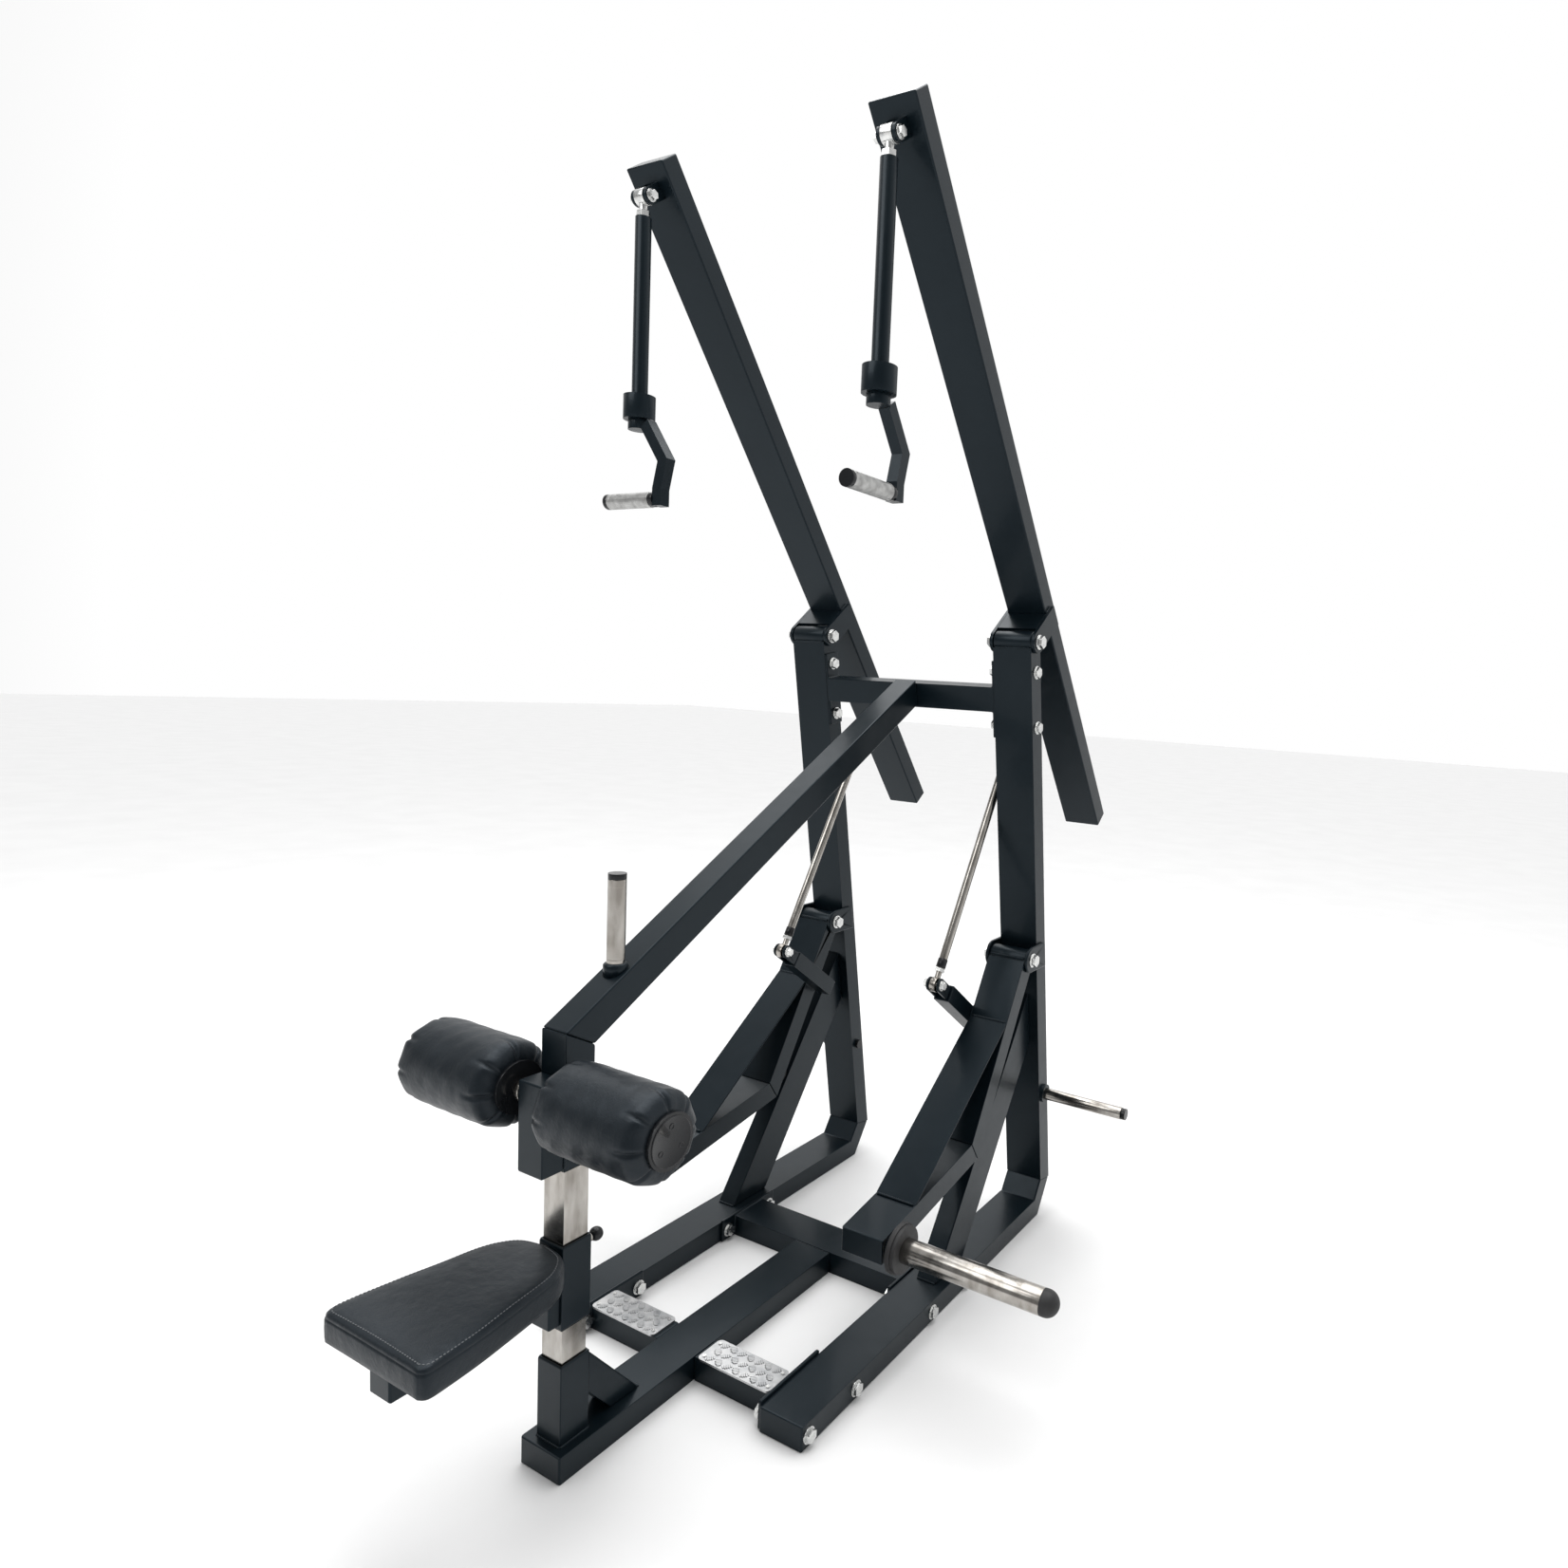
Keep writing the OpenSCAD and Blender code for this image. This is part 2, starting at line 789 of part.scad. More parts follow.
// ---- handles ----
module hanger_tube(s) {
    at = hanger_at();
    color(black)
        on_side(s) {
            translate([arm_x, at[0], grip_z() + collar_low + collar_h])
                cylinder(h = grip_drop - collar_low - collar_h - 40, r = 16);
            difference() {
                translate([arm_x, at[0], grip_z() + collar_low])
                    cylinder(h = collar_h, r = collar_r);
                translate([arm_x, at[0], grip_z() + collar_low - 1])
                    cylinder(h = swivel_depth, r = pivot_r + fit);
            }
        }
}

// the lever's front pin at rest, and the height of the grip under it
function hanger_at() = from_lever(handle_pin);
function grip_z() = hanger_at()[1] - grip_drop;

module hanger_rod_end(s) {
    at = hanger_at();
    color(zinc)
        on_side(s)
            difference() {
                union() {
                    rod_along_x(arm_x - 12, arm_x + 12, at, 17);
                    translate([arm_x, at[0], at[1] - 32])
                        cylinder(h = 20, r = 9);
                    translate([arm_x, at[0], at[1] - 40])
                        cylinder(h = 12, r = 14, $fn = 6);
                }
                rod_along_x(arm_x - 13, arm_x + 13, at, pin_r + fit);
            }
}

// a handle turned by an angle about its hanger
module handle_frame(s, turn) {
    at = hanger_at();
    translate([s * arm_x, at[0], grip_z()])
        rotate([0, 0, turn])
            children();
}

module crank(s, turn) {
    color(black)
        handle_frame(s, turn) {
            side_prism(-crank_w / 2, crank_w / 2, band(crank_path, crank_w));
            translate([0, 0, collar_low - hub_h])
                cylinder(h = hub_h - gap, r = hub_r);
            translate([0, 0, collar_low - 2])
                cylinder(h = swivel_depth, r = pivot_r);
        }
}

// a cylinder along a handle's grip, from one reach to another
module along_grip(from, to, r) {
    translate([0, from, 0])
        rotate([90, 0, 0])
            cylinder(h = from - to, r = r);
}

module grip(s, turn) {
    color(steel)
        handle_frame(s, turn)
            along_grip(grip_root - stub_len, grip_tip, grip_r);
}

module grip_plugs(s, turn) {
    color(plastic)
        handle_frame(s, turn) {
            along_grip(grip_root, grip_root - stub_len, stub_r);
            along_grip(grip_tip, grip_tip - 9, grip_r);
        }
}

centre_beam();
rear_cross_member();
foot_bar();
foot_treads();
side_beams();
uprights();
braces();
front_socket();
seat_post();
pivot_mounts();
upper_cross_beam();
diagonal_beam();
elbow_post();
hand_peg();
knee_block();
knee_axle();
storage_horns();
black_plugs();
frame_bolts();
pivot_bolts();
arm_stops();
seat_carriage();
seat_support();
seat_pad();
pull_pin();
pin_knob();
knee_roller(-1);  // left_knee_roller
knee_roller(1);  // right_knee_roller
roller_discs(-1);  // left_roller_discs
roller_discs(1);  // right_roller_discs
lever(-1);  // left_lever
lever(1);  // right_lever
lever_brackets(-1);  // left_lever_brackets
lever_brackets(1);  // right_lever_brackets
lever_bolts(-1);  // left_lever_bolts
lever_bolts(1);  // right_lever_bolts
arm_drop_tube(-1);  // left_arm_drop_tube
arm_drop_tube(1);  // right_arm_drop_tube
arm_lower_tube(-1);  // left_arm_lower_tube
arm_lower_tube(1);  // right_arm_lower_tube
arm_face_plate(-1);  // left_arm_face_plate
arm_face_plate(1);  // right_arm_face_plate
weight_horn(-1);  // left_weight_horn
weight_horn(1);  // right_weight_horn
horn_rubbers(-1);  // left_horn_rubbers
horn_rubbers(1);  // right_horn_rubbers
connecting_rod(-1);  // left_connecting_rod
connecting_rod(1);  // right_connecting_rod
rod_bolt(-1);  // left_rod_bolt
rod_bolt(1);  // right_rod_bolt
hanger_tube(-1);  // left_hanger_tube
hanger_tube(1);  // right_hanger_tube
hanger_rod_end(-1);  // left_hanger_rod_end
hanger_rod_end(1);  // right_hanger_rod_end
crank(-1, -90);  // left_crank
crank(1, 0);  // right_crank
grip(-1, -90);  // left_grip
grip(1, 0);  // right_grip
grip_plugs(-1, -90);  // left_grip_plugs
grip_plugs(1, 0);  // right_grip_plugs
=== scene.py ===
"""Looks of the plate-loaded lat pulldown: materials, upholstery, knurling, welds, light and camera."""
import json
import math

import bpy
from mathutils import Matrix, Vector


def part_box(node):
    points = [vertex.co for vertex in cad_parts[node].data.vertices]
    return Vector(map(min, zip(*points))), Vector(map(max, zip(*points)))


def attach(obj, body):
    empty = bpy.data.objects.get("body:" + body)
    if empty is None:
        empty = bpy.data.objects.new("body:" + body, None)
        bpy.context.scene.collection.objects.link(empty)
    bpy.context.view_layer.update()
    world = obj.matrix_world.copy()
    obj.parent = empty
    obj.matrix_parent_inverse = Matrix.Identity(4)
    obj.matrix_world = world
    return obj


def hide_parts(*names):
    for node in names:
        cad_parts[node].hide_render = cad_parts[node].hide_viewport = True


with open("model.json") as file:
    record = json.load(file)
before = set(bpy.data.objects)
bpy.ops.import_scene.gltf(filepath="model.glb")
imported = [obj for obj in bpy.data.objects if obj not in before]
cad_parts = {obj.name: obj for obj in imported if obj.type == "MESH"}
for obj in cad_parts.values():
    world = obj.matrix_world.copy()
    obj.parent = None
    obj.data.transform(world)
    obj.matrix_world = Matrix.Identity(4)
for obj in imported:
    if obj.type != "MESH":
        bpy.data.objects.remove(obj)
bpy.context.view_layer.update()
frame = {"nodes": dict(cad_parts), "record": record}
MM = 0.001
SIDES = {"left": -1, "right": 1}
JOINTS = {j["name"]: j for j in frame["record"]["behaviour"]["joints"]}
LEVER_SLOPE = math.radians(51.6)
UPRIGHT_LEAN = math.radians(10.4)
BOX_W = 60 * MM            # square tube of the socket and the elbow
PLATE_T = 6 * MM           # bolted end plates
BRACE_FOOT_LEN = 119.5 * MM
TREAD_IN = 60 * MM         # inner end of each tread, from the middle
GRIP_R = 16 * MM           # grips and hand peg
PIVOT_TUBE_R = 25 * MM
EYE_R = 17 * MM            # rod eyes
WELD_R = 2.6 * MM
WELD_INSET = 4 * MM        # a weld across a tube stops this far inside its edges


def joint_at(name):
    return Vector(JOINTS[name]["pos_m"])


# ---- materials ----
class Maker:
    """A node material with object-space noise ready to feed colour, roughness and bump."""

    def __init__(self, name, **fixed):
        self.mat = bpy.data.materials.new(name)
        self.mat.use_nodes = True
        self.tree = self.mat.node_tree
        self.bsdf = self.tree.nodes["Principled BSDF"]
        for socket, value in fixed.items():
            self.bsdf.inputs[socket.replace("_", " ")].default_value = value
        self.coords = self.tree.nodes.new("ShaderNodeTexCoord").outputs["Object"]

    def link(self, a, b):
        self.tree.links.new(a, b)

    def stretched(self, scale):
        node = self.tree.nodes.new("ShaderNodeMapping")
        node.inputs["Scale"].default_value = scale
        self.link(self.coords, node.inputs["Vector"])
        return node.outputs["Vector"]

    def noise(self, scale, detail=4.0, stretch=(1, 1, 1)):
        node = self.tree.nodes.new("ShaderNodeTexNoise")
        node.inputs["Scale"].default_value = scale
        node.inputs["Detail"].default_value = detail
        self.link(self.stretched(stretch), node.inputs["Vector"])
        return node.outputs["Fac"]

    def cells(self, scale):
        node = self.tree.nodes.new("ShaderNodeTexVoronoi")
        node.inputs["Scale"].default_value = scale
        self.link(self.coords, node.inputs["Vector"])
        return node.outputs["Distance"]

    def colour(self, source, low, high, start=0.3, end=0.7):
        node = self.tree.nodes.new("ShaderNodeValToRGB")
        first, last = node.color_ramp.elements
        first.position, last.position = start, end
        first.color, last.color = (*low, 1), (*high, 1)
        self.link(source, node.inputs["Fac"])
        self.link(node.outputs["Color"], self.bsdf.inputs["Base Color"])

    def roughness(self, source, low, high):
        node = self.tree.nodes.new("ShaderNodeMapRange")
        node.inputs["To Min"].default_value = low
        node.inputs["To Max"].default_value = high
        self.link(source, node.inputs["Value"])
        self.link(node.outputs["Result"], self.bsdf.inputs["Roughness"])

    def bump(self, *layers):
        """Each layer is (source, strength, depth in metres). They are stacked."""
        normal = None
        for source, strength, depth in layers:
            node = self.tree.nodes.new("ShaderNodeBump")
            node.inputs["Strength"].default_value = strength
            node.inputs["Distance"].default_value = depth
            self.link(source, node.inputs["Height"])
            if normal is not None:
                self.link(normal, node.inputs["Normal"])
            normal = node.outputs["Normal"]
        self.link(normal, self.bsdf.inputs["Normal"])


def powder_coat():
    m = Maker("powder_coat", Coat_Weight=0.06, Coat_Roughness=0.08, Specular_IOR_Level=0.22,
              Specular_Tint=(0.72, 0.88, 1.0, 1))
    m.colour(m.noise(5, 6), (0.002, 0.005, 0.0075), (0.004, 0.0078, 0.0108))
    m.roughness(m.noise(35, 5), 0.24, 0.4)
    m.bump((m.noise(900, 2), 0.12, 0.0003), (m.noise(120, 3), 0.06, 0.0005))
    return m.mat


def stainless():
    m = Maker("stainless", Metallic=1.0)
    m.colour(m.noise(45, 6, (1, 1, 0.35)), (0.27, 0.25, 0.225), (0.5, 0.48, 0.45))
    m.roughness(m.noise(60, 5), 0.14, 0.28)
    m.bump((m.noise(1500, 2, (1, 1, 0.03)), 0.12, 0.0002), (m.noise(30, 3), 0.08, 0.001))
    return m.mat


def knurled_steel():
    m = Maker("knurled_steel", Metallic=1.0)
    m.colour(m.noise(70, 4), (0.28, 0.28, 0.275), (0.5, 0.5, 0.49))
    m.roughness(m.noise(300, 3), 0.28, 0.45)
    m.bump((m.noise(1200, 2), 0.1, 0.0002))
    return m.mat


def zinc():
    m = Maker("zinc", Metallic=1.0)
    m.colour(m.noise(90, 5), (0.55, 0.56, 0.56), (0.8, 0.8, 0.78))
    m.roughness(m.noise(150, 4), 0.16, 0.34)
    m.bump((m.noise(700, 3), 0.15, 0.0002))
    return m.mat


def bright_alloy():
    m = Maker("bright_alloy", Metallic=1.0)
    m.colour(m.noise(40, 5), (0.42, 0.43, 0.44), (0.6, 0.6, 0.6))
    m.roughness(m.noise(80, 5), 0.22, 0.42)
    m.bump((m.noise(900, 3, (0.1, 1, 1)), 0.12, 0.0002))
    return m.mat


def leather():
    m = Maker("leather", Specular_IOR_Level=0.28, Specular_Tint=(0.8, 0.9, 1.0, 1))
    m.colour(m.noise(14, 6), (0.0045, 0.007, 0.0095), (0.009, 0.0125, 0.016))
    m.roughness(m.noise(60, 5), 0.3, 0.5)
    m.bump((m.cells(650), 0.3, 0.0005), (m.noise(46, 8), 0.5, 0.003), (m.noise(9, 3), 0.25, 0.005))
    return m.mat


def thread():
    m = Maker("thread", Roughness=0.7)
    m.colour(m.noise(900, 2), (0.07, 0.075, 0.08), (0.16, 0.17, 0.18))
    m.bump((m.noise(2500, 2), 0.4, 0.0002))
    return m.mat


def gloss_plastic():
    m = Maker("gloss_plastic", Specular_IOR_Level=0.15, Coat_Weight=0.25, Coat_Roughness=0.03)
    m.colour(m.noise(20, 4), (0.007, 0.008, 0.009), (0.013, 0.014, 0.016))
    m.roughness(m.noise(90, 4), 0.12, 0.28)
    m.bump((m.noise(300, 3), 0.05, 0.0003))
    return m.mat


def rubber():
    m = Maker("rubber")
    m.colour(m.noise(40, 5), (0.009, 0.009, 0.01), (0.02, 0.02, 0.021))
    m.roughness(m.noise(120, 5), 0.5, 0.72)
    m.bump((m.noise(1100, 3), 0.25, 0.0003))
    return m.mat


def pale_floor():
    m = Maker("pale_floor", Roughness=0.85)
    m.colour(m.noise(3, 3), (0.8, 0.8, 0.8), (0.83, 0.83, 0.83))
    m.bump((m.noise(200, 2), 0.02, 0.0005))
    return m.mat


FINISH = {
    "frame_paint": powder_coat(),
    "stainless": stainless(),
    "knurled_steel": knurled_steel(),
    "zinc": zinc(),
    "bright_alloy": bright_alloy(),
    "charcoal_leather": leather(),
    "black_plastic": gloss_plastic(),
    "black_rubber": rubber(),
}
THREAD = thread()
# rounded edges of each finish: tube corners, turned ends and bolt heads
EDGE = {
    "frame_paint": 3.5 * MM,
    "stainless": 1.2 * MM,
    "knurled_steel": 0.8 * MM,
    "zinc": 0.8 * MM,
    "bright_alloy": 0.8 * MM,
    "charcoal_leather": 1.0 * MM,
    "black_plastic": 1.5 * MM,
    "black_rubber": 2.0 * MM,
}


def dress_cad_nodes():
    """Gives each CAD node its finish, and rounds its sharp edges with a modifier."""
    for part in frame["record"]["subparts"]:
        obj = frame["nodes"][part["node"]]
        slot_name = part["material_slot"]
        obj.data.materials.clear()
        obj.data.materials.append(FINISH[slot_name])
        weld_edges = obj.modifiers.new("join", "WELD")
        weld_edges.merge_threshold = 0.01 * MM
        bevel = obj.modifiers.new("edges", "BEVEL")
        bevel.width = EDGE[slot_name]
        bevel.segments = 3
        bevel.limit_method = "ANGLE"
        bevel.angle_limit = math.radians(38)
        bevel.harden_normals = True


# ---- meshes ----
def add_piece(name, verts, faces, body, slot_name, material=None, smooth=True):
    mesh = bpy.data.meshes.new(name)
    mesh.from_pydata([tuple(v) for v in verts], [], faces)
    mesh.validate()
    mesh.update()
    obj = bpy.data.objects.new(name, mesh)
    bpy.context.scene.collection.objects.link(obj)
    mesh.materials.append(material or FINISH[slot_name])
    if smooth:
        mesh.shade_smooth()
    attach(obj, body)
    return obj


def grid_faces(rows, cols, offset=0):
    """Quads of a grid whose columns close into a ring."""
    faces = []
    for i in range(rows - 1):
        for j in range(cols):
            k = (j + 1) % cols
            faces.append((offset + i * cols + j, offset + i * cols + k,
                          offset + (i + 1) * cols + k, offset + (i + 1) * cols + j))
    return faces


def axis_frame(axis):
    """A rotation that takes +Z to the axis."""
    return Vector((0, 0, 1)).rotation_difference(Vector(axis).normalized()).to_matrix()


def lathe(profile, cols, origin, axis, radius_change=None):
    """Turns (height, radius) pairs about an axis. radius_change(height, angle) is added to the radius."""
    turn = axis_frame(axis)
    verts = []
    for h, r in profile:
        for j in range(cols):
            a = 2 * math.pi * j / cols
            rr = r + (radius_change(h, a) if radius_change else 0)
            verts.append(Vector(origin) + turn @ Vector((rr * math.cos(a), rr * math.sin(a), h)))
    faces = grid_faces(len(profile), cols)
    faces.append(tuple(reversed(range(cols))))
    faces.append(tuple((len(profile) - 1) * cols + j for j in range(cols)))
    return verts, faces


def knurl(name, origin, axis, length, radius, body, slot_name, plain_ends=8 * MM):
    """A turned sleeve with a crossed diamond pattern between two plain ends."""
    pitch, depth, around = 2.2 * MM, 0.45 * MM, 44
    cols = around * 4
    rows = max(8, int(length / (pitch / 4)))

    def diamonds(h, a):
        if h < plain_ends or h > length - plain_ends:
            return 0
        lead = 2 * math.pi * h / pitch / 2
        return -depth * (0.5 + 0.25 * math.cos(around * a + lead) + 0.25 * math.cos(around * a - lead))

    profile = [(0, radius - 1 * MM), (0.8 * MM, radius)]
    profile += [(0.8 * MM + (length - 1.6 * MM) * i / rows, radius) for i in range(1, rows)]
    profile += [(length - 0.8 * MM, radius), (length, radius - 1 * MM)]
    verts, faces = lathe(profile, cols, origin, axis, diamonds)
    return add_piece(name, verts, faces, body, slot_name)


def weld_bead(name, points, radius, body, closed=False):
    """A rippled bead of weld along straight runs between the points."""
    run = [Vector(p) for p in points]
    if closed:
        run.append(run[0])
    verts, faces, cols = [], [], 8
    for a, b in zip(run, run[1:]):
        d = (b - a).normalized()
        turn = axis_frame(d)
        count = max(4, int((b - a).length / (1.3 * MM)))
        start = len(verts)
        for i in range(count + 1):
            swell = 1 + 0.16 * math.cos(2 * math.pi * i / 4) + 0.05 * math.sin(i * 1.7)
            cap = 0.5 if i in (0, count) else 1
            for j in range(cols):
                t = 2 * math.pi * j / cols
                ring = Vector((math.cos(t), math.sin(t), 0)) * radius * swell * cap
                verts.append(a.lerp(b, i / count) + turn @ ring)
        faces += grid_faces(count + 1, cols, start)
        faces.append(tuple(start + j for j in reversed(range(cols))))
        faces.append(tuple(start + count * cols + j for j in range(cols)))
    return add_piece(name, verts, faces, body, "frame_paint")


# ---- upholstery ----
def padded_roller(side):
    """A stuffed roller. Its cover is gathered into eight pleats at each end, round the end discs."""
    lo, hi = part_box(side + "_knee_roller")
    length, radius = hi.x - lo.x, (hi.z - lo.z) / 2
    rim, corner, pleats, cols, steps = 43 * MM, 28 * MM, 8, 192, 18
    # (distance from the end, radius), from the disc's rim out over the rounded corner
    end = [(3 * MM, rim), (0.3 * MM, (rim + radius - corner) / 2), (1 * MM, rim + 2 * MM)]
    for i in range(steps, -1, -1):
        t = math.pi / 2 * i / steps
        end.append((corner * (1 - math.sin(t)) * 0.9 + 0.4 * MM, radius - corner * (1 - math.cos(t))))
    middle = [(corner + (length - 2 * corner) * i / 40, radius) for i in range(1, 40)]
    profile = end + middle + [(length - h, r) for h, r in reversed(end)]
    crease_depth, hollow_depth, inset = 9 * MM, 2.2 * MM, 0.6 * MM

    def folds(h, a):
        from_end = min(h, length - h)
        reach = max(0.0, 1 - from_end / (corner * 1.7)) ** 1.3
        phase = (a * pleats / (2 * math.pi) + 0.5) % 1 - 0.5
        crease = math.exp(-(phase / 0.07) ** 2)
        puff = math.cos(2 * math.pi * phase)
        wave = 0.0006 * math.sin(5 * a + 60 * h) * math.sin(90 * h)
        return -reach * (crease_depth * crease + hollow_depth * (1 - puff)) + wave - inset

    verts, faces = lathe(profile, cols, (lo.x, (lo.y + hi.y) / 2, (lo.z + hi.z) / 2), (1, 0, 0), folds)
    obj = add_piece(side + "_roller_cover", verts, faces, side + "_roller", "charcoal_leather")
    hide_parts(side + "_knee_roller")


def disc_details(side, sign):
    """Three small rimmed holes and a raised ring on the outer face of a roller's end disc."""
    lo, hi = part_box(side + "_roller_discs")
    x = hi.x if sign > 0 else lo.x
    centre = Vector((x, (lo.y + hi.y) / 2, (lo.z + hi.z) / 2))
    hole_circle_r = 24 * MM
    for n in range(3):
        t = math.radians(90 + 120 * n)
        at = centre + Vector((0, math.cos(t), math.sin(t))) * hole_circle_r
        profile = [(-1 * MM, 5 * MM), (0.5 * MM, 5 * MM), (0.9 * MM, 4.4 * MM), (0.9 * MM, 3.6 * MM),
                   (0, 3.2 * MM)]
        verts, faces = lathe(profile, 32, at, (sign, 0, 0))
        add_piece(f"{side}_disc_hole_{n}", verts, faces, side + "_roller", "black_plastic")
    ring = [(-1 * MM, 40 * MM), (0.8 * MM, 40 * MM), (1.2 * MM, 39 * MM), (0.8 * MM, 38 * MM),
            (0.2 * MM, 37 * MM)]
    verts, faces = lathe(ring, 96, centre, (sign, 0, 0))
    add_piece(side + "_disc_ring", verts, faces, side + "_roller", "black_plastic")


def pad_outline(lo, hi, count):
    """Points round the seat's edge: wide at the front, waisted towards the post, and round at the back."""
    half, length = (hi.x - lo.x) / 2, hi.y - lo.y
    ctrl = [(0.0, 0.90), (0.03, 0.985), (0.12, 0.985), (0.33, 0.935), (0.6, 0.82), (0.8, 0.71), (0.9, 0.57),
            (0.97, 0.36), (1.0, 0.0)]
    right = []
    for i in range(count):
        t = i / (count - 1)
        s = t * (len(ctrl) - 1)
        k = min(int(s), len(ctrl) - 2)
        f = s - k
        p = [ctrl[max(k - 1, 0)], ctrl[k], ctrl[k + 1], ctrl[min(k + 2, len(ctrl) - 1)]]
        val = []
        for c in range(2):
            a, b, d, e = (q[c] for q in p)
            val.append(b + 0.5 * f * (d - a + f * (2 * a - 5 * b + 4 * d - e + f * (3 * (b - d) + e - a))))
        right.append((max(0.0, val[1]) * half, lo.y + min(1.0, max(0.0, val[0])) * length))
    left = [(-x, y) for x, y in reversed(right[:-1])]
    front = [(-right[0][0] + 2 * right[0][0] * i / 24, lo.y) for i in range(1, 24)]
    return right + left + front


def seat_cushion():
    """A firm seat: a crowned top, and a seam with stitches round its upper edge."""
    lo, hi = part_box("seat_pad")
    ring = pad_outline(lo, hi, 60)
    centre = Vector((0, (lo.y + hi.y) / 2 - 10 * MM, 0))
    thick = hi.z - lo.z
    # (inset from the outline in millimetres, height as a share of the thickness)
    levels = [(14, 0.0), (4, 0.0), (1.5, 0.05), (0.5, 0.2), (0.2, 0.45), (0.5, 0.68), (1.4, 0.735),
              (2.6, 0.745), (2.2, 0.77), (3.0, 0.84), (6, 0.895), (11, 0.935), (19, 0.965), (32, 0.985),
              (50, 0.995)]
    verts, cols = [], len(ring)
    for inset, share in levels:
        for x, y in ring:
            out = Vector((x, y, 0)) - centre
            keep = max(0.02, 1 - inset * MM / out.length)
            p = centre + out * keep
            verts.append(Vector((p.x, p.y, lo.z + thick * share)))
    crown = ((0.45, 0.998), (0.22, 1.0), (0.06, 1.0))
    for share, rise in crown:
        for x, y in ring:
            p = centre + (Vector((x, y, 0)) - centre) * share
            verts.append(Vector((p.x, p.y, lo.z + thick * rise)))
    rows = len(levels) + len(crown)
    faces = grid_faces(rows, cols)
    faces.append(tuple(reversed(range(cols))))
    faces.append(tuple((rows - 1) * cols + j for j in range(cols)))
    for v in verts[2 * cols:]:
        v.z += 0.0004 * math.sin(55 * v.x + 20 * v.y) * math.sin(48 * v.y)
        v.z = min(v.z, hi.z)
    obj = add_piece("seat_cover", verts, faces, "seat", "charcoal_leather")
    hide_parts("seat_pad")
    stitch_level = 11
    stitch_row("seat_stitches", verts[stitch_level * cols:(stitch_level + 1) * cols])


def stitch_row(name, ring):
    """Small separate stitches that follow a closed ring of points."""
    verts, faces, cols = [], [], 6
    length, pitch = 4.2 * MM, 6 * MM
    total, spots = 0.0, []
    for a, b in zip(ring, ring[1:] + ring[:1]):
        run = (b - a).length
        while total <= run and run > 0:
            spots.append((a.lerp(b, total / run), (b - a).normalized()))
            total += pitch
        total -= run
    for at, d in spots:
        turn = axis_frame(d)
        start = len(verts)
        for i, width in enumerate((0.25, 0.6, 0.6, 0.25)):
            for j in range(cols):
                t = 2 * math.pi * j / cols
                offset = Vector((math.cos(t), math.sin(t), 0)) * width * 1.6 * MM
                verts.append(at + d * length * (i / 3 - 0.5) + turn @ offset)
        faces += grid_faces(4, cols, start)
    return add_piece(name, verts, faces, "seat", "charcoal_leather", THREAD)


# ---- metal details ----
def chequer_bars(name, sign):
    """Five raised bars in each square of the tread, turned by a quarter from one square to the next."""
    lo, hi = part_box("foot_treads")
    x0, x1 = (TREAD_IN, hi.x) if sign > 0 else (lo.x, -TREAD_IN)
    pitch, bar, width, rise = 22 * MM, 16 * MM, 2 * MM, 1.8 * MM
    nx, ny = int((x1 - x0 - 8 * MM) / pitch), int((hi.y - lo.y) / pitch)
    verts, faces = [], []
    for ix in range(nx):
        for iy in range(ny):
            cx = (x0 + x1) / 2 + (ix - (nx - 1) / 2) * pitch
            cy = (lo.y + hi.y) / 2 + (iy - (ny - 1) / 2) * pitch
            a = math.radians(45 if (ix + iy) % 2 else -45)
            for k in range(-2, 3):
                along = bar * (0.5 if abs(k) < 2 else 0.36)
                start = len(verts)
                for share, level in ((1.0, 0.0), (0.75, 1.0)):
                    for u, v in ((-1, 0), (-0.7, -1), (0.7, -1), (1, 0), (0.7, 1), (-0.7, 1)):
                        px, py = u * along * share, (v * share + k * 2) * width
                        verts.append((cx + px * math.cos(a) - py * math.sin(a),
                                      cy + px * math.sin(a) + py * math.cos(a),
                                      hi.z - 0.1 * MM + rise * level))
                faces += grid_faces(2, 6, start)
                faces.append(tuple(start + 6 + j for j in range(6)))
    add_piece(name, verts, faces, "frame", "bright_alloy", smooth=False)


def hand_peg():
    """A stainless peg, knurled between plain bands, in a painted base ring."""
    lo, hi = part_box("hand_peg")
    centre = ((lo.x + hi.x) / 2, (lo.y + hi.y) / 2)
    base = lo.z + 18 * MM
    ring = [(0, 21.5 * MM), (20 * MM, 21.5 * MM), (23 * MM, 19 * MM), (24 * MM, 16 * MM)]
    verts, faces = lathe(ring, 64, (*centre, base - 16 * MM), (0, 0, 1))
    add_piece("peg_base_ring", verts, faces, "frame", "frame_paint")
    obj = knurl("peg_sleeve", (*centre, base), (0, 0, 1), hi.z - base, GRIP_R, "frame", "stainless", 14 * MM)
    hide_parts("hand_peg")


def grips():
    """A knurled sleeve in place of each plain grip."""
    for side in SIDES:
        lo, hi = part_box(side + "_grip")
        across = hi - lo
        axis = Vector((1, 0, 0)) if across.x > across.y else Vector((0, 1, 0))
        middle = Vector(((lo.x + hi.x) / 2, (lo.y + hi.y) / 2, (lo.z + hi.z) / 2))
        length = max(across.x, across.y)
        obj = knurl(side + "_grip_sleeve", middle - axis * length / 2, axis, length, GRIP_R,
                    side + "_handle", "knurled_steel")
        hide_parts(side + "_grip")


